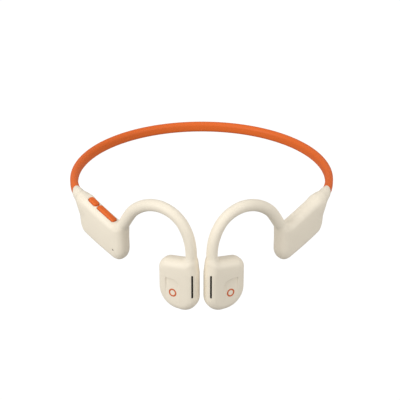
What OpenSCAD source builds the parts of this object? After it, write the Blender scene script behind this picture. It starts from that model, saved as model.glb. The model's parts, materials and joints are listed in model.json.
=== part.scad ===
// Bone conduction headphones. The neck band lies in the plane z = 0 and curves round the origin,
// the back of the band is at +y, and the wearer's left side is at +x.
// Each arm (housing, ear hook and pod) follows a vertical curved sheet. A place on an arm is given
// as s (along the arm from the end of the band), v (height) and w (outwards from the sheet).

/* [Neck band] */
// Radius of the neck band's centre line
band_radius = 68; // [64:0.5:72]
// Degrees that the band runs on past its widest point
band_wrap = 13.5; // [11:0.5:16]
// Width of the silicone sleeve, across the band
sleeve_width = 4.2; // [4:0.1:4.4]
// Height of the silicone sleeve
sleeve_height = 6.1; // [5.7:0.1:6.3]
// Diameter of the spring wire in the band and in the ear hooks
wire_dia = 1.0; // [0.8:0.1:1.1]
// Diameter of the signal cable in the band and in the ear hooks
cable_dia = 1.1; // [0.8:0.1:1.2]
// Degrees from the middle of the band to each flex point
flex_angle = 40; // [34:1:46]

/* [Arm curve] */
// Degrees that the arm has turned inwards at the elbow
elbow_yaw = 45; // [42:1:48]
// Degrees that the arm has turned inwards at the top of the ear hook
hook_yaw = 54; // [52:1:57]
// Degrees that the arm has turned inwards at its tip
tip_yaw = 62; // [60:1:65]
// Length of the arm up to the elbow
elbow_len = 20; // [18:1:22]
// Length of the arm from the elbow to the top of the ear hook
hook_len = 40; // [38:1:42]
// Length of the arm from the top of the ear hook to the tip
tip_len = 26; // [25:1:28]

/* [Housing] */
// Thickness of a housing
housing_thick = 7.6; // [7.4:0.1:8.2]
// Height of a housing's front edge
housing_front = 20.8; // [20:0.1:22]
// Place of a housing's front edge along the arm
housing_tip = 45.4; // [45.2:0.1:46]
// Radius of a housing's edges
housing_edge = 2.2; // [1.8:0.1:2.4]
// Wall thickness of the shells
wall = 1.1; // [0.9:0.05:1.2]

/* [Ear hook] */
// Diameter of the ear hook's tube at its top
hook_dia = 5.8; // [5.5:0.1:6.1]
// Height of the hook's centre line above the band
hook_rise = 12.8; // [11.5:0.1:14]

/* [Pod] */
// Length of a pod, along the arm
pod_length = 20.7; // [20:0.1:21.4]
// Height of a pod, along its front edge
pod_height = 28.9; // [28.1:0.1:29.9]
// Thickness of a pod
pod_thick = 9.2; // [9:0.1:9.8]
// Radius of a pod's edges
pod_edge = 2.8; // [2.4:0.1:3]
// Diameter of the bone conduction transducer
driver_dia = 14.4; // [13.6:0.1:14.8]
// Diameter of the pad that rests on the cheekbone
pad_dia = 13.6; // [12.5:0.1:14]

/* [Buttons] */
// Length of the power button
power_length = 6.1; // [5.6:0.1:6.3]
// Length of the volume rocker
volume_length = 12.6; // [12:0.1:12.8]
// Width of both buttons
button_width = 3.2; // [2.9:0.1:3.5]
// Height that the buttons stand out of the housing
button_proud = 1.3; // [0.9:0.1:1.5]

/* [Hidden] */
$fn = 48;

// Clearance between pieces that touch on the real object
gap = 0.05;
// Degrees per radian
deg = 180 / PI;
// Height of the wire and of the cable above and below the sheet in the band
wire_v = 0.75;
cable_v = -1.25;
wire_bore = wire_dia / 2 + gap;
cable_bore = cable_dia / 2 + gap;
// Where the arm's three arcs end
s_hook = elbow_len + hook_len;
s_tip = s_hook + tip_len;
// Slope of a housing's top face, in degrees, and its height where the buttons start
top_slope = 20.4;
top_start = [18, 2.4];
housing_half = housing_thick / 2;
// The parting surface between covers and lids
housing_split = -1.5;
pod_split = -1.6;
pod_half = pod_thick / 2;
pod_front = 88.7;
pod_rear = pod_front - pod_length;
pod_top = -10.3;
pod_bottom = pod_top - pod_height;
// Rise of a pod's top towards its front, per millimetre
pod_rise = 0.15;
// Centre of the pod's transducer
driver_s = (pod_front + pod_rear) / 2 - 0.2;
driver_v = (pod_top + pod_bottom) / 2 - 0.6;

cream = [0.92, 0.88, 0.80];
cream_shade = [0.87, 0.83, 0.75];
orange = [0.90, 0.42, 0.16];
steel = [0.70, 0.71, 0.73];
dark = [0.16, 0.16, 0.17];
copper = [0.78, 0.47, 0.26];
gold = [0.86, 0.70, 0.32];
board_green = [0.10, 0.36, 0.22];

// ---- The arm's sheet ----

// Inward turn of the arm at s, in degrees
function yaw(s) = s < 0
  ? band_wrap + s * deg / band_radius
  : lookup(s, [[0, band_wrap], [elbow_len, elbow_yaw], [s_hook, hook_yaw], [s_tip, tip_yaw],
               [s_tip + 10, tip_yaw + 3]]);

// Step along an arc of length l that turns from a to b degrees, seen from above
function arc_step(a, b, l) = abs(b - a) < 1e-6
  ? [0, 0]
  : l * deg / (b - a) * [cos(a) - cos(b), sin(b) - sin(a)];

function piece_step(s, from, to) = let (end = min(max(s, from), to))
  arc_step(yaw(from), yaw(end), end - from);

// Point of the sheet at s, seen from above
function plan(s) = s < 0
  ? band_radius * [cos(yaw(s)), -sin(yaw(s))]
  : band_radius * [cos(band_wrap), -sin(band_wrap)]
    - piece_step(s, 0, elbow_len)
    - piece_step(s, elbow_len, s_hook)
    - piece_step(s, s_hook, s_tip)
    - piece_step(s, s_tip, s_tip + 10);

// Place in space of a point given as [s, v, w]
function place(p) = let (xy = plan(p[0]), a = yaw(p[0]))
  [xy[0] + p[2] * cos(a), xy[1] - p[2] * sin(a), p[1]];

// Local axes at a point of the arm: x runs forward, y outward and z up. A tilt turns x downward.
module at_arm(s, v, w = 0, tilt = 0) {
  translate(place([s, v, w]))
    rotate([0, 0, 270 - yaw(s)])
      rotate([0, tilt, 0])
        children();
}

// Everything is drawn for the left arm. The right arm is its mirror image.
module side(right) {
  if (right) mirror([1, 0, 0]) children();
  else children();
}

// ---- Solids on the sheet ----

function flat(lists) = [for (l = lists) each l];
function mean(points) = [for (k = [0:2]) [for (p = points) p[k]] * [for (p = points) 1 / len(points)]];
function unit(a) = a / norm(a);

// A closed solid through rings of equal length, each a list of [s, v, w]. A hollow one joins its
// last ring to its first.
module loft(rings, hollow = false) {
  n = len(rings[0]);
  k = len(rings);
  points = concat(flat(rings), hollow ? [] : [mean(rings[0]), mean(rings[k - 1])]);
  spans = [for (j = [0:(hollow ? k - 1 : k - 2)]) [j * n, (j + 1) % k * n]];
  walls = [for (span = spans, i = [0:n - 1])
    let (a = span[0] + i, b = span[0] + (i + 1) % n, c = span[1] + (i + 1) % n, d = span[1] + i)
      each [[a, b, c], [a, c, d]]];
  first = [for (i = [0:n - 1]) [(i + 1) % n, i, n * k]];
  last = [for (i = [0:n - 1]) [(k - 1) * n + i, (k - 1) * n + (i + 1) % n, n * k + 1]];
  polyhedron([for (p = points) place(p)], hollow ? walls : concat(walls, first, last), convexity = 6);
}

// Smooth curve through a list of points, with steps points to each stretch
function spline(c, steps) = [
  for (i = [0:len(c) - 2], j = [0:(i == len(c) - 2 ? steps : steps - 1)])
    let (t = j / steps, p0 = c[max(i - 1, 0)], p1 = c[i], p2 = c[i + 1], p3 = c[min(i + 2, len(c) - 1)])
      0.5 * (2 * p1 + (p2 - p0) * t + (2 * p0 - 5 * p1 + 4 * p2 - p3) * t * t
             + (3 * p1 - p0 - 3 * p2 + p3) * t * t * t)
];

// Direction of a path at point i, in s and v
function heading(c, i) = let (a = c[max(i - 1, 0)], b = c[min(i + 1, len(c) - 1)])
  unit([b[0] - a[0], b[1] - a[1]]);

// Rings along a path of [s, v, half width, half thickness], moved aside by shift in the sheet.
// half replaces the path's own half width and half thickness.
function tube_rings(path, sides, half = [], shift = 0) = [
  for (i = [0:len(path) - 1])
    let (p = path[i], h = heading(path, i), size = len(half) == 2 ? half : [p[2], p[3]])
      [for (j = [0:sides - 1]) let (t = 360 * j / sides, u = size[0] * cos(t) + shift)
        [p[0] - h[1] * u, p[1] + h[0] * u, size[1] * sin(t)]]
];
function backwards(list) = [for (i = [len(list) - 1:-1:0]) list[i]];

// Arc that rounds corner i of a polygon of [s, v, radius], moved inward by inset. A corner where
// the polygon turns the other way is filled instead.
function corner_arc(c, i, inset) =
  let (n = len(c), a = c[(i + n - 1) % n], b = c[i], d = c[(i + 1) % n],
       ab = unit([b[0] - a[0], b[1] - a[1]]), bd = unit([d[0] - b[0], d[1] - b[1]]),
       way = ab[0] * bd[1] < ab[1] * bd[0] ? -1 : 1,
       turn = acos(ab * bd), centre = [b[0], b[1]] + unit(bd - ab) * b[2] / cos(turn / 2),
       start = atan2(-ab[0], ab[1]))
    [for (k = [0:4]) let (t = start + way * turn * k / 4)
      centre + way * (b[2] - way * inset) * [cos(t), sin(t)]];

// Closed outline of a polygon with rounded corners, moved inward by inset
function outline(c, inset) = let (arcs = [for (i = [0:len(c) - 1]) corner_arc(c, i, inset)])
  flat([for (i = [0:len(c) - 1]) let (p = arcs[i][4], q = arcs[(i + 1) % len(c)][0])
    concat(arcs[i], [for (k = [1:3]) p + (q - p) * k / 4])]);

// Rings of one half of a plate on the sheet, from its parting surface at w = split to the middle
// of its face. out is 1 for the outer half and -1 for the inner one, and thick is a table of half
// thickness against s. The edges are rounded, the face is slightly crowned, and inset shrinks the
// plate on all sides. No ring goes back past the parting surface.
function half_rings(corners, thick, edge, split, out, inset = 0, crown = 0.3) =
  let (r = edge - inset, face = outline(corners, edge), centre = mean([for (p = face) [p[0], p[1], 0]]))
    concat(
      [[for (p = outline(corners, inset)) [p[0], p[1], split]]],
      [for (a = [0, 30, 60, 90]) [for (p = outline(corners, inset + r * (1 - cos(a))))
        [p[0], p[1], out * max(lookup(p[0], thick) - edge + r * sin(a), out * split + 0.02 + a / 1000)]]],
      [[for (p = face)
        let (s = (centre[0] + p[0]) / 2, v = (centre[1] + p[1]) / 2)
          [s, v, out * (lookup(s, thick) - inset + crown)]]]);

// One half of a hollow plate
module shell(corners, thick, edge, split, out) {
  outer = half_rings(corners, thick, edge, split, out);
  inner = half_rings(corners, thick, edge, split, out, wall, 0.1);
  rings = concat(backwards(outer), inner);
  loft(out > 0 ? backwards(rings) : rings);
}

// ---- Neck band ----

// Band arc between two angles, measured from the widest point of the left side towards the back
module band_arc(from, to) {
  rotate([0, 0, from]) rotate_extrude(angle = to - from, $fn = 96)
    translate([band_radius, 0]) children();
}

module sleeve_section() {
  r = sleeve_width / 2;
  difference() {
    union() {
      for (y = [-1, 1]) translate([0, y * (sleeve_height / 2 - r)]) circle(r = r);
      square([sleeve_width, sleeve_height - sleeve_width], center = true);
    }
    translate([0, wire_v]) circle(r = wire_bore);
    translate([0, cable_v]) circle(r = cable_bore);
  }
}

module wire_section() { translate([0, wire_v]) circle(d = wire_dia, $fn = 32); }
module cable_section() { translate([0, cable_v]) circle(d = cable_dia, $fn = 32); }

flex_gap = gap / band_radius * deg;
// Degrees that the sleeve, and the wire and cable in it, run on past the start of the arm
sleeve_run = 3.5;
tail = 6.4;
module band_middle() { band_arc(90 - flex_angle + flex_gap, 90 + flex_angle - flex_gap) children(); }
module band_side(run) { band_arc(-band_wrap - run, 90 - flex_angle - flex_gap) children(); }

module band_sleeve_center() { color(orange) band_middle() sleeve_section(); }
module band_sleeve_side() { band_side(sleeve_run) sleeve_section(); }
module band_sleeve_right() { color(orange) side(true) band_sleeve_side(); }
module band_sleeve_left() { color(orange) band_sleeve_side(); }

module band_wire_center() { color(steel) band_middle() wire_section(); }
module band_wire_side() { band_side(tail) wire_section(); }
module band_wire_right() { color(steel) side(true) band_wire_side(); }
module band_wire_left() { color(steel) band_wire_side(); }

module band_cable_center() { color(dark) band_middle() cable_section(); }
module band_cable_side() { band_side(tail) cable_section(); }
module band_cable_right() { color(dark) side(true) band_cable_side(); }
module band_cable_left() { color(dark) band_cable_side(); }

// Ferrule crimped on the end of the band wire
module wire_ferrule() {
  band_arc(-band_wrap - 6, -band_wrap - 4.4) translate([0, wire_v]) difference() {
    circle(r = 0.75, $fn = 32);
    circle(r = wire_bore, $fn = 32);
  }
}
module right_wire_ferrule() { color(copper) side(true) wire_ferrule(); }
module left_wire_ferrule() { color(copper) wire_ferrule(); }

// ---- Collars and housings ----

top_fall = tan(top_slope);
notch_s = 39.5;
notch_v = top_start[1] - (notch_s - top_start[0]) * top_fall;
housing_heel = notch_v - housing_front;
housing_rear = 12;
housing_corners = [
  [housing_rear, 2.9, 2.3],
  [housing_rear + 2, -16.6, 7],
  [housing_tip, housing_heel, 5.5],
  [housing_tip, notch_v, 2.3],
  [notch_s, notch_v, 2.3],
  [top_start[0], top_start[1], 12]
];
housing_table = [[12, 3.1], [18, housing_half - 0.1], [26, housing_half], [46, housing_half - 0.1]];

// Collar that leads the sleeve's wire and cable into the housing
collar_start = sleeve_run / deg * band_radius;
collar_line = spline([
  [collar_start + 2 * gap, 0, sleeve_height / 2, sleeve_width / 2],
  [6.2, 0, sleeve_height / 2 + 0.1, sleeve_width / 2 + 0.25],
  [8.6, -0.25, sleeve_height / 2 + 0.3, sleeve_width / 2 + 0.55],
  [housing_rear - gap, -0.9, 3.75, 3.05]], 3);
// The sleeve's end stands askew and outward of the arm's sheet by these
sleeve_turn = yaw(collar_start) - band_wrap - sleeve_run;
sleeve_shift = (band_radius * [cos(band_wrap + sleeve_run), -sin(band_wrap + sleeve_run)]
                - plan(collar_start)) * [cos(yaw(collar_start)), -sin(yaw(collar_start))];
function on_sleeve_end(ring) =
  [for (p = ring) [p[0] - p[2] * tan(sleeve_turn), p[1], p[2] + sleeve_shift]];
spigot_v = -0.6;
spigot_r = 2.2;
function clear_of_lid(ring) = [for (p = ring) [p[0], p[1], max(p[2], housing_split + gap)]];
module collar() {
  skin = tube_rings(collar_line, 20);
  spigot = tube_rings([for (s = [housing_rear - gap, housing_rear + 2.6])
    [s, spigot_v, spigot_r, spigot_r]], 20);
  channel = tube_rings([
    [collar_start + 2 * gap, -0.1, 1.95, 1.5],
    [6.5, -0.15, 1.95, 1.5],
    [10.6, -0.25, 1.9, 1.1],
    [housing_rear + 2.6, -0.35, 1.75, 1]], 20);
  loft(concat([on_sleeve_end(skin[0])], [for (i = [1:len(skin) - 1]) skin[i]],
              [for (ring = spigot) clear_of_lid(ring)], [for (i = [3:-1:1]) channel[i]],
              [on_sleeve_end(channel[0])]), hollow = true);
}
module right_collar() { color(cream) side(true) collar(); }
module left_collar() { color(cream) collar(); }

// Local axes on a housing's top face, on the line of the buttons, with z out of the face
button_w = -0.3;
module at_top(along, lift = 0) {
  at_arm(top_start[0] + along * cos(top_slope) + lift * sin(top_slope),
         top_start[1] - along * sin(top_slope) + lift * cos(top_slope), button_w, top_slope)
    children();
}

// A stadium-shaped block that stands on z = 0 and is centred on x and y
module capsule(length, width, height) {
  linear_extrude(height) capsule_shape(length, width);
}

module capsule_shape(length, width) {
  square([length - width, width], center = true);
  for (x = [-1, 1]) translate([x * (length - width) / 2, 0]) circle(d = width, $fn = 40);
}

// A block with rounded corners that stands on z = 0 and is centred on x and y
module block(length, width, height, r) {
  linear_extrude(height) {
    square([length - 2 * r, width], center = true);
    square([length, width - 2 * r], center = true);
    for (x = [-1, 1], y = [-1, 1])
      translate([x * (length / 2 - r), y * (width / 2 - r)]) circle(r = r, $fn = 32);
  }
}

power_at = 1.7 + power_length / 2;
volume_at = power_at + (power_length + volume_length) / 2 + 0.8;

button_corner = 1.2;
button_play = 0.15;
module button_holes() {
  at_top(power_at, -3.2) button_hole(power_length);
  at_top(volume_at, -3.2) button_hole(volume_length);
}
module button_hole(length) {
  block(length + 2 * button_play, button_width + 2 * button_play, 6, button_corner + button_play);
}

led_place = [40, -18.4];
charge_place = [27, -12.5];
charge_tilt = 18;

// The holes in every housing's cover: one for the collar and one for the ear hook
module housing_holes() {
  at_arm(housing_rear, spigot_v) rotate([0, 90, 0]) cylinder(r = spigot_r + gap, h = 6, center = true);
  at_arm(hook_base_s, notch_v) linear_extrude(8, center = true) hook_hole_shape();
}

module hook_hole_shape() {
  capsule_shape(2 * hook_plug[0] + 2 * gap, 2 * hook_plug[1] + 2 * gap);
}

module housing_cover() {
  difference() {
    shell(housing_corners, housing_table, housing_edge, housing_split + gap / 2, 1);
    housing_holes();
    children();
  }
}

module housing_lid() {
  shell(housing_corners, housing_table, housing_edge, housing_split - gap / 2, -1);
}

module right_housing_cover() {
  color(cream) side(true) housing_cover() {
    button_holes();
    at_arm(led_place[0], led_place[1], 2) rotate([-90, 0, 0]) cylinder(r = 0.5 + gap, h = 4, $fn = 32);
  }
}
module left_housing_cover() { color(cream) housing_cover(); }

module right_housing_lid() {
  color(cream_shade) side(true) difference() {
    housing_lid();
    button_holes();
    at_arm(charge_place[0], charge_place[1], -6, charge_tilt) rotate([-90, 0, 0])
      capsule(13.1, 5.6, 5);
  }
}
module left_housing_lid() { color(cream_shade) housing_lid(); }

// ---- Buttons, in the right housing ----

flange_low = -1.85;
flange_high = -1.45;

module button(length) {
  translate([0, 0, flange_high])
    block(length, button_width, button_proud - flange_high, button_corner);
  translate([0, 0, flange_low]) capsule(length + 0.7, 3.8, flange_high - flange_low);
}

module power_button() { color(orange) side(true) at_top(power_at) button(power_length); }

module volume_rocker() {
  color(orange) side(true) at_top(volume_at) {
    button(volume_length);
    translate([0, 0, (flange_low + flange_high) / 2]) rotate([90, 0, 0])
      cylinder(r = 0.36, h = 3.4, center = true);
  }
}

switch_at = [power_at, volume_at - 3.6, volume_at + 3.6];
module button_seal() { color(dark) side(true) at_top(11.6, -2.5) capsule(20, 3.4, 0.25); }

module tact_switches() {
  color(steel) side(true) for (a = switch_at) at_top(a, -3.5) {
    translate([0, 0, 0.4]) cube([2.6, 2.4, 0.8], center = true);
    translate([0, 0, 0.8]) cylinder(r = 0.6, h = 0.15);
  }
}

module button_board() {
  color(board_green) side(true) at_top(11.6, -3.75) cube([20, 3, 0.4], center = true);
}

// ---- Electronics, in the right housing ----

board_place = [29, -13, 0.6];
board_tilt = 18;
board_thick = 0.8;
module at_board() {
  at_arm(board_place[0], board_place[1], board_place[2], board_tilt) children();
}

module circuit_board() {
  color(board_green) side(true) at_board() cube([22, board_thick, 10.6], center = true);
}

// Tinned can over the radio and audio chips, open towards the board
module shield_can() {
  color(steel) side(true) at_board() translate([-4.5, board_thick / 2 + gap, 0]) difference() {
    translate([-4.5, 0, -4]) cube([9, 1.3, 8]);
    translate([-4.3, -1, -3.8]) cube([8.6, 2.1, 7.6]);
  }
}

module antenna() {
  color([0.85, 0.85, 0.82]) side(true) at_board()
    translate([3, board_thick / 2 + gap, 3.2]) cube([6, 1, 1.6]);
}

module status_light_pipe() {
  color([0.9, 0.9, 0.9, 0.6]) side(true) at_arm(led_place[0], led_place[1], 1.6)
    rotate([-90, 0, 0]) cylinder(r = 0.5, h = 2.4, $fn = 32);
}

// ---- Magnetic charging port, in the right housing's lid ----

charge_face = housing_half + 0.45;
contact_x = 1.6;
magnet_x = 4.6;
module at_charge(depth) {
  at_arm(charge_place[0], charge_place[1], -depth, charge_tilt) rotate([-90, 0, 0]) children();
}

module charge_plate() {
  color(dark) side(true) at_charge(charge_face) difference() {
    capsule(13, 5.5, 1.4);
    for (x = [-1, 1]) translate([x * contact_x, 0, -1]) cylinder(r = 1.05, h = 4);
    for (x = [-1, 1]) translate([x * magnet_x, 0, 0.5]) cylinder(r = 1.45, h = 4);
  }
}

module charge_contacts() {
  color(gold) side(true) at_charge(charge_face - 0.05) for (x = [-1, 1])
    translate([x * contact_x, 0, 0]) cylinder(r = 1, h = 2);
}

module charge_magnets() {
  color(steel) side(true) at_charge(charge_face - 0.55) for (x = [-1, 1])
    translate([x * magnet_x, 0, 0]) cylinder(r = 1.4, h = 1.6);
}

// ---- Battery, in the left housing ----

module at_battery() { at_arm(29, -12.5, 0.1, board_tilt) children(); }

module battery() { color([0.75, 0.76, 0.78]) at_battery() cube([19.5, 4.2, 11], center = true); }

module battery_foam() {
  color(dark) at_battery() translate([0, -2.4, 0]) cube([16, 0.5, 9], center = true);
}

module battery_board() {
  color(board_green) at_battery() translate([0, 0, 6.2]) cube([10, 3, 0.8], center = true);
}

// ---- Ear hooks ----

hook_base_s = 42.4;
hook_end_s = 85.1;
hook_plug = [2.45, 1.4];
// Height of the pod's top where the hook ends
hook_end_v = pod_top - (pod_front - hook_end_s) * pod_rise;
hook_half = hook_dia / 2;
hook_channel = [1.95, 0.85];
hook_line = [
  [hook_base_s, notch_v + gap, 3, 3.2],
  [hook_base_s + 0.3, notch_v + 0.8, 3, 3.2],
  [44.7, -2.3, 3, 3.1],
  [47.5, 1.5, 3, 3],
  [50.9, 5.6, hook_half + 0.05, hook_half],
  [56.2, hook_rise - 3.3, hook_half + 0.05, hook_half],
  [62, hook_rise - 0.8, hook_half + 0.05, hook_half],
  [68.3, hook_rise, hook_half, hook_half],
  [74.4, hook_rise - 1.4, hook_half - 0.1, hook_half - 0.05],
  [79.1, hook_rise - 4.6, hook_half - 0.2, hook_half - 0.05],
  [82.2, 3.8, hook_half - 0.2, hook_half],
  [84.1, -1.2, hook_half - 0.15, hook_half],
  [84.9, -6.2, hook_half, hook_half + 0.2],
  [hook_end_s - pod_rise, hook_end_v + 1, 3.15, 3.4]
];
hook_path = concat(spline(hook_line, 3), [[hook_end_s, hook_end_v + gap, 3.2, 3.5]]);
// The same line, run on into the housing and the pod
long_path = concat([for (v = [-9:1:-6]) [hook_base_s, v, 0, 0]], hook_path,
                   [for (v = [1:3]) [hook_end_s + v * pod_rise, hook_end_v - v, 0, 0]]);

module ear_hook() {
  base = [for (v = [-3, 0]) [hook_base_s, notch_v + gap + v, hook_plug[0], hook_plug[1]]];
  end = [for (v = [0, -3])
    [hook_end_s - v * pod_rise, hook_end_v + gap + v, hook_plug[0], hook_plug[1]]];
  channel = concat([base[0]], hook_path, [end[1]]);
  loft(concat(tube_rings(base, 16), tube_rings(hook_path, 16), tube_rings(end, 16),
              backwards(tube_rings(channel, 16, hook_channel))), hollow = true);
}
module right_ear_hook() { color(cream) side(true) ear_hook(); }
module left_ear_hook() { color(cream) ear_hook(); }

module hook_wire() { loft(tube_rings(long_path, 8, [wire_dia / 2, wire_dia / 2], 0.95)); }
module right_hook_wire() { color(steel) side(true) hook_wire(); }
module left_hook_wire() { color(steel) hook_wire(); }

module hook_cable() { loft(tube_rings(long_path, 8, [cable_dia / 2, cable_dia / 2], -0.95)); }
module right_hook_cable() { color(dark) side(true) hook_cable(); }
module left_hook_cable() { color(dark) hook_cable(); }

// ---- Pods ----

pod_corners = [
  [pod_rear, pod_top - pod_length * pod_rise, 5.5],
  [pod_rear, pod_bottom, 10.5],
  [pod_front, pod_bottom, 8],
  [pod_front, pod_top, 3]
];
pod_table = [[60, pod_half], [95, pod_half]];
slot_v = -23.8;
slot_length = 12.5;
slot_width = 1;
slot_turn = 50;
inlay_place = [77.2, -29.3];
inlay_low = pod_half - 0.5;

// Local axes at the slot, with x out of the pod's rounded front edge
module at_slot(depth) {
  at_arm(pod_front - pod_edge, slot_v, pod_half - pod_edge) rotate([0, 0, slot_turn])
    translate([pod_edge - depth, 0, 0]) rotate([0, 90, 0])
      children();
}

module pod_cover() {
  difference() {
    shell(pod_corners, pod_table, pod_edge, pod_split + gap / 2, 1);
    at_arm(hook_end_s, hook_end_v, 0, -atan(pod_rise)) linear_extrude(8, center = true)
      hook_hole_shape();
    at_slot(1.6) capsule(slot_length, slot_width, 4);
    at_arm(inlay_place[0], inlay_place[1], inlay_low) rotate([-90, 0, 0]) cylinder(r = 2.15, h = 2);
  }
}
module right_pod_cover() { color(cream) side(true) pod_cover(); }
module left_pod_cover() { color(cream) pod_cover(); }

module pod_lid() {
  difference() {
    shell(pod_corners, pod_table, pod_edge, pod_split - gap / 2, -1);
    at_driver(-6) cylinder(d = pad_dia + 0.2, h = 4);
  }
}
module right_pod_lid() { color(cream_shade) side(true) pod_lid(); }
module left_pod_lid() { color(cream_shade) pod_lid(); }

// Local axes at the transducer, with z outwards from the head
module at_driver(w) {
  at_arm(driver_s, driver_v, w) rotate([-90, 0, 0]) children();
}

pad_face = pod_half + 0.7;
module contact_pad() { at_driver(-pad_face) cylinder(d = pad_dia, h = pad_face - 3.45); }
module right_contact_pad() { color(cream_shade) side(true) contact_pad(); }
module left_contact_pad() { color(cream_shade) contact_pad(); }

// Plain ring set into the pod's cover
module pod_inlay() {
  at_arm(inlay_place[0], inlay_place[1], inlay_low + gap) rotate([-90, 0, 0]) difference() {
    cylinder(r = 2.1, h = 0.7);
    translate([0, 0, -1]) cylinder(r = 1.3, h = 3);
  }
}
module right_pod_inlay() { color(orange) side(true) pod_inlay(); }
module left_pod_inlay() { color(orange) pod_inlay(); }

module slot_mesh() { at_slot(0.75) capsule(slot_length - 0.1, slot_width - 0.1, 0.3); }
module right_slot_mesh() { color(dark) side(true) slot_mesh(); }
module left_slot_mesh() { color(dark) slot_mesh(); }

module microphone() { at_arm(84.4, -33.4, 1.6) cube([2.8, 1.1, 2.2], center = true); }
module right_microphone() { color(gold) side(true) microphone(); }
module left_microphone() { color(gold) microphone(); }

yoke_wall = 1.1;
yoke_back = 2.4;
module yoke() {
  r = driver_dia / 2;
  at_driver(-2) difference() {
    cylinder(r = r, h = yoke_back + 2);
    translate([0, 0, -1]) cylinder(r = r - yoke_wall, h = yoke_back + 1.8);
  }
}
module right_yoke() { color(steel) side(true) yoke(); }
module left_yoke() { color(steel) yoke(); }

coil_inner = 4.4;
module magnet() { at_driver(-1.9) cylinder(r = coil_inner - 0.25, h = 3.05); }
module right_magnet() { color([0.5, 0.5, 0.53]) side(true) magnet(); }
module left_magnet() { color([0.5, 0.5, 0.53]) magnet(); }

module voice_coil() {
  at_driver(-3) difference() {
    cylinder(r = driver_dia / 2 - yoke_wall - 0.2, h = 2.6);
    translate([0, 0, -1]) cylinder(r = coil_inner, h = 5);
  }
}
module right_voice_coil() { color(copper) side(true) voice_coil(); }
module left_voice_coil() { color(copper) voice_coil(); }

// Spring steel disc with three curved arms cut in it
module spring_plate() {
  at_driver(-3.4) difference() {
    cylinder(d = driver_dia, h = 0.3);
    for (a = [0:120:240]) rotate([0, 0, a]) translate([0, 0, -1])
      rotate_extrude(angle = 95) translate([4.6, 0]) square([1.1, 3]);
  }
}
module right_spring_plate() { color(steel) side(true) spring_plate(); }
module left_spring_plate() { color(steel) spring_plate(); }

band_sleeve_center();
band_sleeve_right();
band_sleeve_left();
band_wire_center();
band_wire_right();
band_wire_left();
band_cable_center();
band_cable_right();
band_cable_left();
right_housing_cover();
right_housing_lid();
left_housing_cover();
left_housing_lid();
right_wire_ferrule();
left_wire_ferrule();
right_collar();
left_collar();
power_button();
volume_rocker();
button_seal();
button_board();
tact_switches();
circuit_board();
shield_can();
antenna();
status_light_pipe();
charge_plate();
charge_contacts();
charge_magnets();
battery();
battery_foam();
battery_board();
right_ear_hook();
left_ear_hook();
right_hook_wire();
left_hook_wire();
right_hook_cable();
left_hook_cable();
right_pod_cover();
left_pod_cover();
right_pod_lid();
left_pod_lid();
right_contact_pad();
left_contact_pad();
right_pod_inlay();
left_pod_inlay();
right_slot_mesh();
left_slot_mesh();
right_microphone();
left_microphone();
right_yoke();
left_yoke();
right_magnet();
left_magnet();
right_voice_coil();
left_voice_coil();
right_spring_plate();
left_spring_plate();
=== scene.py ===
"""Bone conduction headphones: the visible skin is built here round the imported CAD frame.

Shapes are made in the arm's own coordinates, in millimetres: s along the arm from the end of the
neck band's circle, v up, w outward from the arm's vertical curved sheet. place() maps them into
the row frame. Negative s runs back along the circle of the band.
"""
import math

import bmesh
import bpy
import numpy as np
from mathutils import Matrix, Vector
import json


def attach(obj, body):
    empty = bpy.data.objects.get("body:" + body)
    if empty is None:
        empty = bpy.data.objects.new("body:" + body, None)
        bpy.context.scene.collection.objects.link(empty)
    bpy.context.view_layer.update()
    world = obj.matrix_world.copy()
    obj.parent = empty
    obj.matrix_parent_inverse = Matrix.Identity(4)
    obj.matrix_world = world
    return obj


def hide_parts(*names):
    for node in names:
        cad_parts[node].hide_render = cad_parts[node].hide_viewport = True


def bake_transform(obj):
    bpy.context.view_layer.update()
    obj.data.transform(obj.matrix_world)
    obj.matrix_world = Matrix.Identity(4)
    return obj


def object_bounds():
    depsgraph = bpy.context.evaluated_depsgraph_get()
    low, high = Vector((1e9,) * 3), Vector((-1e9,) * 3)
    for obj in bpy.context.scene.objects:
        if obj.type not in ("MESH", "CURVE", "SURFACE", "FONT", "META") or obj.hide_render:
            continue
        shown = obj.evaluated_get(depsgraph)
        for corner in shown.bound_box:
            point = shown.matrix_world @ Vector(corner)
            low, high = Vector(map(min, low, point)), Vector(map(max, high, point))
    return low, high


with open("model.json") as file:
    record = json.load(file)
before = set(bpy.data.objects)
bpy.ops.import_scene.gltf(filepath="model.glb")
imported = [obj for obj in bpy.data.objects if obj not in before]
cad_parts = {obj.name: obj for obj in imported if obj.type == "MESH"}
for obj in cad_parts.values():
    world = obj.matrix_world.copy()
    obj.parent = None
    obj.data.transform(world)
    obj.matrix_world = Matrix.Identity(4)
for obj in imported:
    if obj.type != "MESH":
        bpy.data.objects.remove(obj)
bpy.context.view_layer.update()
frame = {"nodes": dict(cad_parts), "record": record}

MM = 0.001

# ---- Driving dimensions, the same as the CAD model's, in millimetres and degrees ----
BAND_RADIUS = 68.0
BAND_WRAP = 13.5
SLEEVE_WIDTH, SLEEVE_HEIGHT = 4.2, 6.1
SLEEVE_RUN = 3.5
WIRE_DIA, CABLE_DIA = 1.0, 1.1
WIRE_V, CABLE_V = 0.75, -1.25
YAW_TABLE = ((0, BAND_WRAP), (20, 45), (60, 54), (86, 62), (96, 65))
HOUSING_EDGE, HOUSING_INNER_EDGE, WALL = 3.4, 2.0, 1.1
TOP_SLOPE = math.radians(20.4)
TOP_S, TOP_V = 18.0, 2.4
NOTCH_S = 39.5
NOTCH_V = TOP_V - (NOTCH_S - TOP_S) * math.tan(TOP_SLOPE)
HOUSING_TIP = 45.4
HEEL_V = NOTCH_V - 20.8
HOUSING_REAR = 12.0
HOUSING_SPLIT, POD_SPLIT = -1.5, -1.6
POD_REAR, POD_FRONT, POD_TOP, POD_HEIGHT, POD_RISE = 68.0, 88.7, -10.3, 28.9, 0.15
POD_BOTTOM = POD_TOP - POD_HEIGHT
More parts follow.
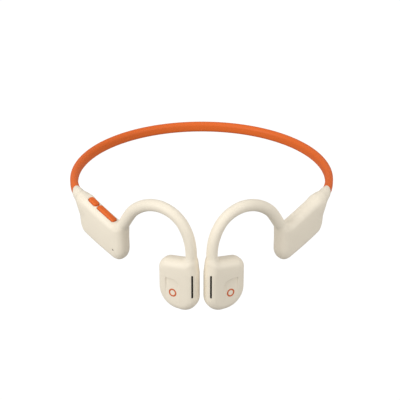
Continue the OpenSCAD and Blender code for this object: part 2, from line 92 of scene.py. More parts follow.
POD_HALF, POD_EDGE, POD_SOFT_EDGE = 4.6, 2.8, 3.9
DRIVER = ((POD_FRONT + POD_REAR) / 2 - 0.2, (POD_TOP + POD_BOTTOM) / 2 - 0.6)
PAD_DIA, PAD_FACE = 13.6, POD_HALF + 0.7
SLOT_V, SLOT_LENGTH, SLOT_WIDTH, SLOT_TURN = -23.8, 12.4, 0.85, math.radians(50)
INLAY = (77.2, -29.3)
BUTTON_W, BUTTON_WIDTH, BUTTON_PROUD, BUTTON_CORNER = -0.3, 3.2, 1.3, 1.2
POWER_LENGTH, VOLUME_LENGTH = 6.1, 12.6
POWER_AT = 1.7 + POWER_LENGTH / 2
VOLUME_AT = POWER_AT + (POWER_LENGTH + VOLUME_LENGTH) / 2 + 0.8
LED = (40.0, -18.4)
CHARGE, CHARGE_TILT = (27.0, -12.5), math.radians(18)
GAP = 0.02

# ---- The arm's sheet ----
_S = np.arange(-125.0, 96.0, 0.05)
_YAW = np.radians(np.where(_S < 0, BAND_WRAP + np.degrees(_S / BAND_RADIUS),
                           np.interp(_S, *zip(*YAW_TABLE))))


def _integrate(rate):
    steps = (rate[1:] + rate[:-1]) / 2 * np.diff(_S)
    total = np.concatenate([[0.0], np.cumsum(steps)])
    return total - np.interp(0.0, _S, total)


_X = BAND_RADIUS * math.cos(math.radians(BAND_WRAP)) - _integrate(np.sin(_YAW))
_Y = -BAND_RADIUS * math.sin(math.radians(BAND_WRAP)) - _integrate(np.cos(_YAW))


def place(points, right=False):
    """Places in metres, in the row frame, of points given as rows of s, v and w."""
    s, v, w = np.asarray(points, float).reshape(-1, 3).T
    yaw = np.interp(s, _S, _YAW)
    x = np.interp(s, _S, _X) + w * np.cos(yaw)
    y = np.interp(s, _S, _Y) - w * np.sin(yaw)
    return np.stack([-x if right else x, y, v], 1) * MM


# ---- Outlines and centre lines in the sheet ----
def rounded(corners):
    """Closed outline of a polygon whose corners are given as s, v and radius."""
    c = np.array(corners, float)
    points = []
    for i in range(len(c)):
        a, b, d, r = c[i - 1][:2], c[i][:2], c[(i + 1) % len(c)][:2], c[i][2]
        ab, bd = (b - a) / np.linalg.norm(b - a), (d - b) / np.linalg.norm(d - b)
        way = -1 if ab[0] * bd[1] < ab[1] * bd[0] else 1
        turn = math.acos(float(np.clip(ab @ bd, -1, 1)))
        centre = b + (bd - ab) / np.linalg.norm(bd - ab) * r / math.cos(turn / 2)
        start = math.atan2(-ab[0], ab[1])
        for t in start + way * turn * np.linspace(0, 1, 13):
            points.append(centre + way * r * np.array([math.cos(t), math.sin(t)]))
    return np.array(points)


def spline(controls, steps=12):
    """Smooth curve through rows of numbers."""
    c = np.array(controls, float)
    rows = []
    for i in range(len(c) - 1):
        p0, p1, p2, p3 = c[max(i - 1, 0)], c[i], c[i + 1], c[min(i + 2, len(c) - 1)]
        for t in np.linspace(0, 1, steps, endpoint=False):
            rows.append(0.5 * (2 * p1 + (p2 - p0) * t + (2 * p0 - 5 * p1 + 4 * p2 - p3) * t ** 2
                               + (3 * p1 - p0 - 3 * p2 + p3) * t ** 3))
    rows.append(c[-1])
    return np.array(rows)


HOUSING_OUTLINE = rounded([
    (HOUSING_REAR, 2.0, 2.3), (HOUSING_REAR + 2, -16.6, 7), (HOUSING_TIP - 0.6, HEEL_V, 5.5),
    (HOUSING_TIP - 0.6, NOTCH_V + 0.6, 2.3), (NOTCH_S, NOTCH_V + 0.6, 2.3),
    (TOP_S, TOP_V, 9)])
POD_OUTLINE = rounded([
    (POD_REAR, POD_TOP - (POD_FRONT - POD_REAR) * POD_RISE, 5.5), (POD_REAR, POD_BOTTOM, 10.5),
    (POD_FRONT, POD_BOTTOM, 8), (POD_FRONT, POD_TOP - 8, 14), (POD_FRONT - 1.6, POD_TOP, 2.5)])
# Rows of s, v, half width in the sheet and half thickness across it
HOOK_LINE = spline([
    (41.4, -21.5, 2.0, 2.4), (41.9, -18.0, 2.9, 3.2), (42.3, -12.0, 2.7, 3.0),
    (43.0, -6.0, 2.8, 3.2), (45.2, -2.5, 2.9, 3.1),
    (47.7, 1.4, 2.95, 3.0), (51.0, 5.6, 2.95, 2.9), (56.2, 9.5, 2.95, 2.9),
    (62.0, 12.0, 2.95, 2.9), (68.3, 12.8, 2.9, 2.9), (74.4, 11.4, 2.8, 2.85),
    (79.1, 8.2, 2.7, 2.85), (82.2, 3.8, 2.7, 2.9), (84.1, -1.2, 2.7, 2.9),
    (84.9, -6.2, 2.65, 2.95), (85.0, -11.0, 2.5, 3.2), (84.8, -17.5, 2.2, 3.2)])
NECK_LINE = spline([
    (0.0, 0.0, 3.05, 2.1), (4.2, 0.0, 3.05, 2.1), (6.2, 0.0, 3.25, 2.7),
    (8.6, -0.1, 3.5, 3.0), (12.0, -0.9, 3.9, 3.2), (16.0, -2.4, 4.4, 3.3)])


def outline_distance(p, loop):
    """Signed distance of points to a closed outline, negative inside."""
    best = np.full(len(p), 1e9)
    inside = np.zeros(len(p), bool)
    for a, b in zip(loop, np.roll(loop, -1, 0)):
        e, rel = b - a, p - a
        if e @ e < 1e-12:
            continue
        t = np.clip(rel @ e / (e @ e), 0, 1)
        best = np.minimum(best, np.hypot(rel[:, 0] - t * e[0], rel[:, 1] - t * e[1]))
        if a[1] != b[1]:
            crosses = (a[1] > p[:, 1]) != (b[1] > p[:, 1])
            inside ^= crosses & (p[:, 0] < e[0] * (p[:, 1] - a[1]) / e[1] + a[0])
    return np.where(inside, -best, best)


def line_distance(p, line):
    """Distance of points to a centre line, and the line's half width and half thickness there."""
    best = np.full(len(p), 1e9)
    size = np.zeros((len(p), 2))
    for a, b in zip(line[:-1], line[1:]):
        e, rel = b[:2] - a[:2], p - a[:2]
        t = np.clip(rel @ e / (e @ e), 0, 1)
        d = np.hypot(rel[:, 0] - t * e[0], rel[:, 1] - t * e[1])
        near = d < best
        best = np.where(near, d, best)
        size = np.where(near[:, None], a[2:] + t[:, None] * (b[2:] - a[2:]), size)
    return best, size[:, 0], size[:, 1]


def smoothstep(x):
    x = np.clip(x, 0, 1)
    return x * x * (3 - 2 * x)


# ---- Fields of the sheet, sampled on a fine grid and read back by interpolation ----
S0, S1, V0, V1 = 2.0, 90.0, -41.0, 17.0
FINE = 0.2
_fs = np.arange(S0, S1, FINE)
_fv = np.arange(V0, V1, FINE)
_grid = np.stack(np.meshgrid(_fs, _fv, indexing="ij"), -1).reshape(-1, 2)


def scoop_depth(p):
    """Depth of the shallow recess in a pod's outer face: an arched step that runs out downwards."""
    half = 3.9
    across = (p[:, 0] - 76.9) / half
    top = -21.6 - 0.3 * (across + 0.6) ** 2 - 2.2 * np.maximum(across - 0.2, 0) ** 2
    fall = top - p[:, 1]
    edge = smoothstep(fall / 0.6) * smoothstep((1 - np.abs(across)) * half / 0.6)
    return 0.7 * edge * (1 - smoothstep((fall - 0.5) / 13.0))


FIELDS = np.stack(
    [outline_distance(_grid, HOUSING_OUTLINE), outline_distance(_grid, POD_OUTLINE),
     *line_distance(_grid, HOOK_LINE), *line_distance(_grid, NECK_LINE), scoop_depth(_grid)],
    -1).reshape(len(_fs), len(_fv), -1)


def read_fields(s, v):
    x = np.clip((s - S0) / FINE, 0, len(_fs) - 1.001)
    y = np.clip((v - V0) / FINE, 0, len(_fv) - 1.001)
    i, j = x.astype(int), y.astype(int)
    fx, fy = (x - i)[..., None], (y - j)[..., None]
    f = (FIELDS[i, j] * (1 - fx) * (1 - fy) + FIELDS[i + 1, j] * fx * (1 - fy)
         + FIELDS[i, j + 1] * (1 - fx) * fy + FIELDS[i + 1, j + 1] * fx * fy)
    return [f[..., k] for k in range(f.shape[-1])]


# ---- Signed distance of the arm ----
def plate(d, half, edge, w):
    a, b = d + edge, np.abs(w) - (half - edge)
    return np.minimum(np.maximum(a, b), 0) + np.hypot(np.maximum(a, 0), np.maximum(b, 0)) - edge


def tube(rho, a, b, w):
    rho = np.sqrt(rho ** 2 + 1e-6)
    k0, k1 = np.hypot(rho / a, w / b), np.hypot(rho / a ** 2, w / b ** 2)
    return k0 * (k0 - 1) / k1


def smooth_min(a, b, k):
    h = np.maximum(k - np.abs(a - b), 0) / k
    return np.minimum(a, b) - h * h * k / 4


def crown(d):
    return 0.3 * smoothstep(-d / 8)


def housing_half(s):
    return np.interp(s, (12, 18, 26, 46), (3.1, 3.7, 3.8, 3.7))


def top_axes(s, v):
    """Distance along a housing's top face from its start, and height above that face."""
    ds, dv = s - TOP_S, v - TOP_V
    return (ds * math.cos(TOP_SLOPE) - dv * math.sin(TOP_SLOPE),
            ds * math.sin(TOP_SLOPE) + dv * math.cos(TOP_SLOPE))


def block_distance(x, y, length, width, corner):
    qx, qy = np.abs(x) - length / 2 + corner, np.abs(y) - width / 2 + corner
    return (np.hypot(np.maximum(qx, 0), np.maximum(qy, 0))
            + np.minimum(np.maximum(qx, qy), 0) - corner)


def arm_distance(s, v, w, fields, right):
    hd, pd, hr, ha, hb, nr, na, nb, scoop = fields
    half = housing_half(s) + crown(hd)
    housing_edge = np.minimum(np.where(w > 0, HOUSING_EDGE, HOUSING_INNER_EDGE), half - 0.15)
    housing = plate(hd, half, housing_edge, w)
    pod_half = POD_HALF + crown(pd)
    pod = plate(pd, pod_half, POD_SOFT_EDGE, w)
    pod = np.maximum(pod, np.where(w > 0, w - pod_half + scoop, -9))
    neck = tube(nr, na, nb, w)
    hook = tube(hr, ha, hb, w)
    d = smooth_min(smooth_min(housing, neck, 3.5), hook, 3.0)
    d = smooth_min(d, pod, 2.4)
    cavity = np.minimum(plate(hd + WALL, half - WALL, housing_edge - WALL, w),
                        plate(pd + WALL, pod_half - WALL, POD_SOFT_EDGE - WALL, w))
    channel = np.minimum(tube(hr, 1.95 + 0 * hr, 0.85, w), tube(nr, 1.8 + 0 * nr, 1.2, w))
    d = np.maximum(d, -np.minimum(cavity, channel))
    out = (s - POD_FRONT + POD_EDGE) * math.cos(SLOT_TURN) + (w - POD_HALF + POD_EDGE) * math.sin(SLOT_TURN)
    across = (w - POD_HALF + POD_EDGE) * math.cos(SLOT_TURN) - (s - POD_FRONT + POD_EDGE) * math.sin(SLOT_TURN)
    slot = block_distance(v - SLOT_V, across, SLOT_LENGTH, SLOT_WIDTH, SLOT_WIDTH / 2 - 0.01)
    d = np.maximum(d, -np.maximum(slot, POD_EDGE - 1.7 - out))
    pad = np.hypot(s - DRIVER[0], v - DRIVER[1]) - PAD_DIA / 2 - 0.1
    d = np.maximum(d, -np.maximum(pad, w + 2))
    if right:
        along, lift = top_axes(s, v)
        holes = [block_distance(along - at, w - BUTTON_W, length + 0.3, BUTTON_WIDTH + 0.3, BUTTON_CORNER + 0.15)
                 for at, length in ((POWER_AT, POWER_LENGTH), (VOLUME_AT, VOLUME_LENGTH))]
        d = np.maximum(d, -np.maximum(np.minimum(*holes), -3.2 - lift))
        led = np.hypot(s - LED[0], v - LED[1]) - 0.55
        d = np.maximum(d, -np.maximum(led, 2 - w))
        x = (s - CHARGE[0]) * math.cos(CHARGE_TILT) - (v - CHARGE[1]) * math.sin(CHARGE_TILT)
        y = (s - CHARGE[0]) * math.sin(CHARGE_TILT) + (v - CHARGE[1]) * math.cos(CHARGE_TILT)
        port = block_distance(x, y, 13.1, 5.6, 2.79)
        d = np.maximum(d, -np.maximum(port, w + 1.0))
    return d


def surface_nets(values, origin, step):
    """Points and quads of the surface where the values change sign."""
    inside = values < 0
    shape = np.array(values.shape) - 1
    offsets = np.array([(i, j, k) for i in (0, 1) for j in (0, 1) for k in (0, 1)])
    count = sum(inside[o[0]:shape[0] + o[0], o[1]:shape[1] + o[1], o[2]:shape[2] + o[2]].astype(np.int8)
                for o in offsets)
    active = (count > 0) & (count < 8)
    cells = np.argwhere(active)
    number = np.full(active.shape, -1)
    number[tuple(cells.T)] = np.arange(len(cells))
    corner = np.stack([values[tuple((cells + o).T)] for o in offsets], 1)
    total, hits = np.zeros((len(cells), 3)), np.zeros(len(cells))
    for a in range(8):
        for b in range(a + 1, 8):
            if np.abs(offsets[a] - offsets[b]).sum() != 1:
                continue
            va, vb = corner[:, a], corner[:, b]
            cut = (va < 0) != (vb < 0)
            t = np.where(cut, va / np.where(cut, va - vb, 1), 0)
            total += np.where(cut[:, None], offsets[a] + t[:, None] * (offsets[b] - offsets[a]), 0)
            hits += cut
    points = origin + (cells + total / hits[:, None]) * step
    quads = []
    for axis in range(3):
        u, t = (axis + 1) % 3, (axis + 2) % 3
        first = [slice(1, n) for n in shape]
        first[axis] = slice(0, shape[axis])
        second = list(first)
        second[axis] = slice(1, shape[axis] + 1)
        change = inside[tuple(first)] != inside[tuple(second)]
        at = np.argwhere(change) + np.array([0 if k == axis else 1 for k in range(3)])
        goes_out = inside[tuple(at.T)]
        eu, et = np.eye(3, dtype=int)[u], np.eye(3, dtype=int)[t]
        ring = np.stack([number[tuple((at - o).T)] for o in (eu + et, et, 0 * eu, eu)], 1)
        quads.append(np.where(goes_out[:, None], ring, ring[:, ::-1]))
    return points, np.concatenate(quads)


STEP = 0.34


def arm_mesh(right):
    """Skin of one arm, as points in s, v and w, and quads."""
    s, v, w = np.arange(3.0, 89.8, STEP), np.arange(-40.8, 16.8, STEP), np.arange(-5.63, 5.7, STEP)
    gs, gv = np.meshgrid(s, v, indexing="ij")
    fields = [f[:, :, None] for f in read_fields(gs, gv)]
    values = arm_distance(gs[:, :, None], gv[:, :, None], w[None, None, :], fields, right)
    points, quads = surface_nets(values, np.array([s[0], v[0], w[0]]), STEP)

    def distance(p):
        return arm_distance(p[:, 0], p[:, 1], p[:, 2], read_fields(p[:, 0], p[:, 1]), right)

    small = 0.03
    for _ in range(3):
        d = distance(points)
        slope = np.stack([(distance(points + small * e) - distance(points - small * e)) / (2 * small)
                          for e in np.eye(3)], 1)
        size = np.maximum((slope ** 2).sum(1), 0.25)
        move = -(d / size)[:, None] * slope
        points = points + np.clip(move, -0.12, 0.12)
    return points, quads


# ---- Blender objects ----
def new_object(name, bm, sharp=True):
    mesh = bpy.data.meshes.new(name)
    # An edge that four faces share is drawn together to a point, so that every edge has two faces
    shared = [edge for edge in bm.edges if len(edge.link_faces) > 2]
    bmesh.ops.collapse(bm, edges=shared)
    bmesh.ops.recalc_face_normals(bm, faces=bm.faces)
    if bm.calc_volume(signed=True) < 0:
        bmesh.ops.reverse_faces(bm, faces=bm.faces)
    for face in bm.faces:
        face.smooth = True
    if sharp:
        for edge in bm.edges:
            if len(edge.link_faces) == 2 and edge.calc_face_angle(0) > math.radians(38):
                edge.smooth = False
    bm.to_mesh(mesh)
    bm.free()
    obj = bpy.data.objects.new(name, mesh)
    bpy.context.scene.collection.objects.link(obj)
    return obj


def to_bmesh(points, faces):
    bm = bmesh.new()
    made = [bm.verts.new(p) for p in points]
    for f in faces:
        corners = [made[i] for i in dict.fromkeys(f)]
        if len(corners) > 2 and not bm.faces.get(corners):
            bm.faces.new(corners)
    return bm


def cut(bm, origin, normal, near=None):
    """Cuts away what lies on the normal's side of a plane and caps the section. near limits the
    cut to vertices for which it is true."""
    verts = [v for v in bm.verts if near is None or near(v.co)]
    chosen = set(verts)
    edges = [e for e in bm.edges if all(v in chosen for v in e.verts)]
    faces = [f for f in bm.faces if all(v in chosen for v in f.verts)]
    found = bmesh.ops.bisect_plane(bm, geom=verts + edges + faces, dist=1e-6, plane_co=origin,
                                   plane_no=normal, clear_outer=True)
    rim = [e for e in found["geom_cut"] if isinstance(e, bmesh.types.BMEdge) and e.is_boundary]
    bmesh.ops.triangle_fill(bm, use_beauty=True, use_dissolve=False, edges=rim, normal=normal)
    loose = [v for v in bm.verts if not v.link_faces]
    bmesh.ops.delete(bm, geom=loose, context="VERTS")
    bmesh.ops.remove_doubles(bm, verts=bm.verts, dist=0.002)


def place_bmesh(bm, right):
    co = np.array([v.co for v in bm.verts])
    for vert, p in zip(bm.verts, place(co, right)):
        vert.co = p


# Planes that part an arm into its pieces
SKIN_SLOPE = math.atan2(TOP_V - (NOTCH_V + 0.6), NOTCH_S - TOP_S)
TOP_NORMAL = (math.sin(SKIN_SLOPE), math.cos(SKIN_SLOPE), 0)
TOP_POINT = (TOP_S + 0.18 * TOP_NORMAL[0], TOP_V + 0.18 * TOP_NORMAL[1], 0)
POD_NORMAL = (-POD_RISE / math.hypot(1, POD_RISE), 1 / math.hypot(1, POD_RISE), 0)
POD_POINT = (POD_FRONT, POD_TOP + 0.15, 0)
MIDDLE_S = 62.0


def flipped(vector):
    return tuple(-c for c in vector)


def shifted(point, normal, by):
    return tuple(p + n * by for p, n in zip(point, normal))


def delete_where(bm, test):
    bmesh.ops.delete(bm, geom=[v for v in bm.verts if test(v.co)], context="VERTS")


def arm_pieces(right):
    side = "right" if right else "left"
    points, quads = arm_mesh(right)
    low, high = (-1, 0, 0), (1, 0, 0)
    start = SLEEVE_RUN / math.degrees(1) * BAND_RADIUS

    def fresh():
        return to_bmesh(points, quads.tolist())

    bm = fresh()
    delete_where(bm, lambda c: c.x > HOUSING_REAR + 3)
    cut(bm, (start + 0.03, 0, 0), low)
    cut(bm, (HOUSING_REAR - GAP, 0, 0), high)
    pieces = [("collar", bm)]

    for name, normal, split in (("housing_cover", (0, 0, -1), HOUSING_SPLIT + GAP),
                                ("housing_lid", (0, 0, 1), HOUSING_SPLIT - GAP)):
        bm = fresh()
        delete_where(bm, lambda c: c.x > MIDDLE_S)
        cut(bm, shifted(TOP_POINT, TOP_NORMAL, -GAP), TOP_NORMAL)
        cut(bm, (HOUSING_REAR + GAP, 0, 0), low)
        cut(bm, (0, 0, split), normal)
        pieces.append((name, bm))

    bm = fresh()
    cut(bm, shifted(TOP_POINT, TOP_NORMAL, GAP), flipped(TOP_NORMAL), lambda c: c.x < MIDDLE_S)
    delete_where(bm, lambda c: c.x < 25)
    cut(bm, shifted(POD_POINT, POD_NORMAL, GAP), flipped(POD_NORMAL), lambda c: c.x >= MIDDLE_S - 1)
    pieces.append(("ear_hook", bm))

    for name, normal, split in (("pod_cover", (0, 0, -1), POD_SPLIT + GAP),
                                ("pod_lid", (0, 0, 1), POD_SPLIT - GAP)):
        bm = fresh()
        delete_where(bm, lambda c: c.x < MIDDLE_S)
        cut(bm, shifted(POD_POINT, POD_NORMAL, -GAP), POD_NORMAL)
        cut(bm, (0, 0, split), normal)
        pieces.append((name, bm))

    for name, bm in pieces:
        place_bmesh(bm, right)
        obj = new_object(f"{side}_{name}_skin", bm)
        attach(obj, f"{side}_arm")
        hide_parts(f"{side}_{name}")
        obj.data.materials.append(MATERIALS["hook" if name == "ear_hook" else "shell"])


def lathe(name, profile, centre, right, material, node, segments=64):
    """Turned piece whose axis runs across the sheet. The profile's rows are radius and w."""
    bm = bmesh.new()
    rings = []
    for r, w in profile:
        if r < 1e-6:
            p = place([(centre[0], centre[1], w)], right)[0]
            rings.append([bm.verts.new(p)])
            continue
        t = np.linspace(0, 2 * math.pi, segments, endpoint=False)
        rows = np.stack([centre[0] + r * np.cos(t), centre[1] + r * np.sin(t), np.full(segments, w)], 1)
        # A disc is flat: it's placed on the tangent plane at its centre
        rings.append([bm.verts.new(p) for p in flat_place(rows, centre, right)])
    closed = profile[0] == profile[-1]
    if closed:
        bmesh.ops.delete(bm, geom=rings[-1], context="VERTS")
        rings[-1] = rings[0]
    for a, b in zip(rings[:-1], rings[1:]):
        for i in range(segments):
            j = (i + 1) % segments
            face = [a[i % len(a)], a[j % len(a)], b[j % len(b)], b[i % len(b)]]
            bm.faces.new(list(dict.fromkeys(face)))
    obj = new_object(name, bm)
    side = "right" if right else "left"
    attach(obj, f"{side}_arm")
    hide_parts(node)
    obj.data.materials.append(material)
    return obj


def flat_place(rows, centre, right):
    """As place(), but on the plane that touches the sheet at the centre."""
    base = place([(centre[0], centre[1], 0)])[0] / MM
    yaw = float(np.interp(centre[0], _S, _YAW))
    ds, dv, w = rows[:, 0] - centre[0], rows[:, 1] - centre[1], rows[:, 2]
    x = base[0] - ds * math.sin(yaw) + w * math.cos(yaw)
    y = base[1] - ds * math.cos(yaw) - w * math.sin(yaw)
    return np.stack([-x if right else x, y, base[2] + dv], 1) * MM


def sweep_section(loops, s_values, right):
    """Closed solid that carries a section with holes along the sheet. Each loop's rows are v, w."""
    bm = bmesh.new()
    ends = []
    for loop in loops:
        rings = []
        for s in s_values:
            rows = np.array([(s, v, w) for v, w in loop])
            rings.append([bm.verts.new(p) for p in place(rows, right)])
        n = len(loop)
        for a, b in zip(rings[:-1], rings[1:]):
            for i in range(n):
                bm.faces.new((a[i], a[(i + 1) % n], b[(i + 1) % n], b[i]))
        ends.append((rings[0], rings[-1]))
    for k in (0, 1):
        rim = [bm.edges.get((ring[i - 1], ring[i])) for ring in (e[k] for e in ends)
               for i in range(len(ring))]
        bmesh.ops.triangle_fill(bm, use_beauty=True, use_dissolve=False, edges=rim)
    return bm


def circle_loop(v0, w0, r, n=20):
    return [(v0 + r * math.sin(t), w0 + r * math.cos(t)) for t in np.linspace(0, 2 * math.pi, n, endpoint=False)]


def sleeve_loop():
    r, straight = SLEEVE_WIDTH / 2, (SLEEVE_HEIGHT - SLEEVE_WIDTH) / 2
    arc = np.linspace(0, math.pi, 15)
    top = [(straight + r * math.sin(t), r * math.cos(t)) for t in arc]
    return top + [(-v, -w) for v, w in top]


def band_pieces(right):
    side = "right" if right else "left"
    middle = -math.radians(90 + BAND_WRAP) * BAND_RADIUS
    end = SLEEVE_RUN / math.degrees(1) * BAND_RADIUS
    holes = [circle_loop(WIRE_V, 0, WIRE_DIA / 2 + 0.03), circle_loop(CABLE_V, 0, CABLE_DIA / 2 + 0.03)]
    parts = (("sleeve", [sleeve_loop()] + holes, end, "silicone"),
             ("wire", [circle_loop(WIRE_V, 0, WIRE_DIA / 2)], end + 3.2, "spring_steel"),
             ("cable", [circle_loop(CABLE_V, 0, CABLE_DIA / 2)], end + 3.2, "cable_jacket"))
    for name, loops, stop, slot in parts:
        start = middle + 0.002
        s_values = np.linspace(start, stop, 150)
        obj = new_object(f"{side}_band_{name}_skin", sweep_section(loops, s_values, right))
        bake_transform(obj)
        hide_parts(f"band_{name}_{side}", f"band_{name}_center")
        obj.data.materials.append(MATERIALS[slot])


def button_piece(name, body, at, length):
    """Moulded button with a rounded rim, a slight crown and a flange under the housing's wall."""
    rows = [(-1.85, 0.7, 0.6, 1.8), (-1.45, 0.7, 0.6, 1.8), (-1.45, 0, 0, BUTTON_CORNER),
            (-0.4, 0, 0, BUTTON_CORNER)]
    rows += [(BUTTON_PROUD - 0.75 * (1 - math.sin(t)), -1.5 * (1 - math.cos(t)), -1.5 * (1 - math.cos(t)),
              BUTTON_CORNER) for t in np.linspace(0, math.pi / 2, 7)]
    rings = []
    for lift, grow_length, grow_width, corner in rows:
        a, b = (length + grow_length) / 2, (BUTTON_WIDTH + grow_width) / 2
        r = min(corner, b - 0.05)
        loop = []
        for cx, cy, t0 in ((a - r, b - r, 0), (r - a, b - r, 90), (r - a, r - b, 180), (a - r, r - b, 270)):
            for t in np.radians(np.linspace(t0, t0 + 90, 9)):
                loop.append((cx + r * math.cos(t), cy + r * math.sin(t)))
        rings.append([(at + x, lift, y) for x, y in loop])
    for scale in (0.6, 0.25):
        rings.append([(at + (x - at) * scale, BUTTON_PROUD + 0.06 * (1 - scale), y * scale)
                      for x, _, y in rings[len(rows) - 1]])
    bm = bmesh.new()
    made = []
    for ring in rings:
        rows3 = [(TOP_S + x * math.cos(TOP_SLOPE) + lift * math.sin(TOP_SLOPE),
                  TOP_V - x * math.sin(TOP_SLOPE) + lift * math.cos(TOP_SLOPE), y + BUTTON_W)
                 for x, lift, y in ring]
        made.append([bm.verts.new(p) for p in place(rows3, True)])
    n = len(made[0])
    for a, b in zip(made[:-1], made[1:]):
        for i in range(n):
            bm.faces.new((a[i], a[(i + 1) % n], b[(i + 1) % n], b[i]))
    bm.faces.new(made[0][::-1])
    bm.faces.new(made[-1])
    obj = new_object(f"{name}_skin", bm)
    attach(obj, body)
    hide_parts(name)
    obj.data.materials.append(MATERIALS["button"])


def inlay_piece(right):
    """Plain ring that follows the floor of the pod's recess."""
    def face(s, v):
        f = read_fields(np.array([s]), np.array([v]))
        return POD_HALF + float(crown(f[1])[0]) - float(f[8][0])

    bm = bmesh.new()
    n = 48
    rings = []
    for r, lift in ((2.1, -0.35), (2.1, 0.03), (2.0, 0.07), (1.4, 0.07), (1.3, 0.03), (1.3, -0.35)):
        rows = []
        for t in np.linspace(0, 2 * math.pi, n, endpoint=False):
            s, v = INLAY[0] + r * math.cos(t), INLAY[1] + r * math.sin(t)
            rows.append((s, v, face(s, v) + lift))
        rings.append([bm.verts.new(p) for p in place(rows, right)])
    for k in range(len(rings)):
        a, b = rings[k], rings[(k + 1) % len(rings)]
        for i in range(n):
            bm.faces.new((a[i], a[(i + 1) % n], b[(i + 1) % n], b[i]))
    side = "right" if right else "left"
    obj = new_object(f"{side}_pod_inlay_ring", bm)
    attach(obj, f"{side}_arm")
    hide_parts(f"{side}_pod_inlay")
    obj.data.materials.append(MATERIALS["inlay"])


# ---- Materials ----
def material(name, colour, roughness, vary=0.03, bump=0.02, grain=4000.0, metallic=0.0, coat=0.0,
             sheen=0.0, rough_vary=0.06, brushed=0.0, specular=0.5):
    """Procedural surface: broad and fine colour variation, uneven roughness and a fine bump."""
    mat = bpy.data.materials.new(name)
    mat.use_nodes = True
    tree = mat.node_tree
    nodes, link = tree.nodes, tree.links.new
    shader = nodes["Principled BSDF"]
    where = nodes.new("ShaderNodeTexCoord")
    mapping = nodes.new("ShaderNodeMapping")
    mapping.inputs["Scale"].default_value = (1, 1, 1 + brushed)
    link(where.outputs["Object"], mapping.inputs["Vector"])

    def noise(scale, detail):
        node = nodes.new("ShaderNodeTexNoise")
        node.inputs["Scale"].default_value = scale
        node.inputs["Detail"].default_value = detail
        link(mapping.outputs["Vector"], node.inputs["Vector"])
        return node

    broad, fine = noise(55.0, 3.0), noise(grain, 2.0)
    mix = nodes.new("ShaderNodeMix")
    mix.data_type = "RGBA"
    mix.inputs[6].default_value = (*[c * (1 - vary) for c in colour], 1)
    mix.inputs[7].default_value = (*[min(1, c * (1 + vary)) for c in colour], 1)
    link(broad.outputs["Fac"], mix.inputs[0])
    speck = nodes.new("ShaderNodeMix")
    speck.data_type = "RGBA"
    speck.blend_type = "MULTIPLY"
    speck.inputs[7].default_value = (1 - vary, 1 - vary, 1 - vary, 1)
    link(fine.outputs["Fac"], speck.inputs[0])
    link(mix.outputs[2], speck.inputs[6])
    link(speck.outputs[2], shader.inputs["Base Color"])
    spread = nodes.new("ShaderNodeMapRange")
    spread.inputs["To Min"].default_value = roughness - rough_vary
    spread.inputs["To Max"].default_value = roughness + rough_vary
    link(broad.outputs["Fac"], spread.inputs["Value"])
    link(spread.outputs["Result"], shader.inputs["Roughness"])
    bumps = nodes.new("ShaderNodeBump")
    bumps.inputs["Strength"].default_value = bump
    bumps.inputs["Distance"].default_value = 0.0002
    link(fine.outputs["Fac"], bumps.inputs["Height"])
    link(bumps.outputs["Normal"], shader.inputs["Normal"])
    shader.inputs["Metallic"].default_value = metallic
    shader.inputs["Coat Weight"].default_value = coat
    shader.inputs["Sheen Weight"].default_value = sheen
    shader.inputs["Specular IOR Level"].default_value = specular
    return mat


CREAM = (0.85, 0.77, 0.63)
ORANGE = (0.74, 0.135, 0.017)
MATERIALS = {
    "shell": material("soft_touch_shell", CREAM, 0.52, bump=0.10),
    "hook": material("soft_touch_hook", CREAM, 0.56, bump=0.10, sheen=0.05),
    "pad": material("pad_silicone", tuple(c * 0.95 for c in CREAM), 0.62, bump=0.14),
    "silicone": material("band_silicone", ORANGE, 0.5, vary=0.04, bump=0.12, specular=0.25),
    "button": material("button_silicone", ORANGE, 0.5, vary=0.04, bump=0.12, specular=0.25),
    "inlay": material("inlay_print", (0.62, 0.13, 0.035), 0.4, bump=0.05),
    "spring_steel": material("spring_steel", (0.52, 0.53, 0.55), 0.3, metallic=1, brushed=12, bump=0.1, grain=2500),
    "cable_jacket": material("cable_jacket", (0.025, 0.025, 0.028), 0.55, vary=0.1, bump=0.2),
    "black_plastic": material("black_plastic", (0.022, 0.022, 0.024), 0.42, vary=0.1, bump=0.2),
    "copper": material("copper_wire", (0.62, 0.27, 0.12), 0.28, metallic=1, brushed=20, bump=0.3, grain=3000),
    "gold_plate": material("gold_plate", (0.83, 0.58, 0.20), 0.2, metallic=1, bump=0.05),
    "board": material("board_mask", (0.012, 0.11, 0.045), 0.3, vary=0.12, bump=0.3, grain=1500, coat=0.4),
    "magnet_nickel": material("nickel", (0.62, 0.61, 0.58), 0.16, metallic=1, bump=0.05),
    "cell_foil": material("cell_foil", (0.62, 0.63, 0.65), 0.34, metallic=1, bump=0.4, grain=500),
    "foam": material("foam_rubber", (0.03, 0.03, 0.032), 0.9, vary=0.2, bump=0.8, grain=1800),
    "ceramic": material("antenna_ceramic", (0.78, 0.77, 0.72), 0.3, bump=0.08),
    "light_pipe": material("light_pipe_grey", (0.26, 0.23, 0.19), 0.3, bump=0.05, coat=0.2),
    "mesh": material("mesh_cloth", (0.012, 0.010, 0.008), 0.8, vary=0.3, bump=0.9, grain=2200, specular=0.1),
}
SLOT_MATERIAL = {"shell": "shell", "skin": "pad"}
for part in frame["record"]["subparts"]:
    key = part["material_slot"]
    chosen = MATERIALS[SLOT_MATERIAL.get(key, key)]
    node = frame["nodes"][part["node"]]
    node.data.materials.clear()
    node.data.materials.append(chosen)

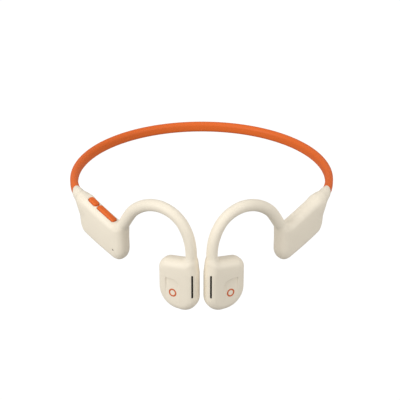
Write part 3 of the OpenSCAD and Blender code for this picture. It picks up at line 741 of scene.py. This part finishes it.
# ---- The object ----
for is_right in (False, True):
    arm_pieces(is_right)
    band_pieces(is_right)
    inlay_piece(is_right)
    which = "right" if is_right else "left"
    face_w = -PAD_FACE
    lathe(f"{which}_contact_pad_skin",
          [(0, face_w - 0.02), (4.2, face_w), (4.4, face_w + 0.12), (4.7, face_w + 0.12), (4.9, face_w),
           (5.9, face_w + 0.05), (6.4, face_w + 0.2), (6.7, face_w + 0.55), (PAD_DIA / 2, face_w + 1.0),
           (PAD_DIA / 2, -3.45), (0, -3.45)],
          DRIVER, is_right, MATERIALS["pad"], f"{which}_contact_pad")
button_piece("power_button", "power_button", POWER_AT, POWER_LENGTH)
button_piece("volume_rocker", "volume_rocker", VOLUME_AT, VOLUME_LENGTH)

# ---- Floor, light and camera ----
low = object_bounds()[0]
floor_z = low[2] - 0.12
bpy.ops.mesh.primitive_circle_add(vertices=128, radius=9.0, fill_type="NGON", location=(0, 0, floor_z))
floor = bpy.context.object
floor.name = "floor"
paper = material("floor_paper", (0.42, 0.42, 0.42), 0.9, vary=0.004, bump=0.05, grain=60)
floor.data.materials.append(paper)
# The camera sees the paper evenly lit, as under a lamp of its own that doesn't reach the object
tree = paper.node_tree
glow = tree.nodes.new("ShaderNodeEmission")
glow.inputs["Strength"].default_value = 1.05
seen = tree.nodes.new("ShaderNodeLightPath")
mixer = tree.nodes.new("ShaderNodeMixShader")
tree.links.new(seen.outputs["Is Camera Ray"], mixer.inputs[0])
tree.links.new(tree.nodes["Principled BSDF"].outputs["BSDF"], mixer.inputs[1])
tree.links.new(glow.outputs["Emission"], mixer.inputs[2])
tree.links.new(mixer.outputs["Shader"], tree.nodes["Material Output"].inputs["Surface"])

world = bpy.data.worlds.new("studio")
bpy.context.scene.world = world
world.use_nodes = True
background = world.node_tree.nodes["Background"]
background.inputs["Color"].default_value = (1, 1, 1, 1)
background.inputs["Strength"].default_value = 0.54


def area_light(name, place_at, size, power):
    data = bpy.data.lights.new(name, "AREA")
    data.shape = "RECTANGLE"
    data.size, data.size_y = size
    data.energy = power
    lamp = bpy.data.objects.new(name, data)
    lamp.location = place_at
    lamp.rotation_euler = (-Vector(place_at)).to_track_quat("-Z", "Y").to_euler()
    bpy.context.scene.collection.objects.link(lamp)


area_light("top_softbox", (0, -0.1, 0.9), (0.8, 0.8), 1.3)
area_light("left_softbox", (-0.70, -0.50, 0.42), (0.5, 0.5), 5.0)
area_light("right_softbox", (0.70, -0.50, 0.36), (0.5, 0.5), 2.6)

camera_data = bpy.data.cameras.new("camera")
camera = bpy.data.objects.new("camera", camera_data)
bpy.context.scene.collection.objects.link(camera)
ELEVATION, DISTANCE = math.radians(25), 8 * BAND_RADIUS * MM
camera.location = (0, -DISTANCE * math.cos(ELEVATION), DISTANCE * math.sin(ELEVATION))
camera.rotation_euler = (math.pi / 2 - ELEVATION, 0, 0)
camera_data.sensor_width = 36
camera_data.lens = 91.15
camera_data.shift_x, camera_data.shift_y = -0.004, -0.0635
camera_data.clip_start, camera_data.clip_end = 0.01, 40
bpy.context.scene.camera = camera
bpy.context.scene.view_settings.view_transform = "Standard"

import json
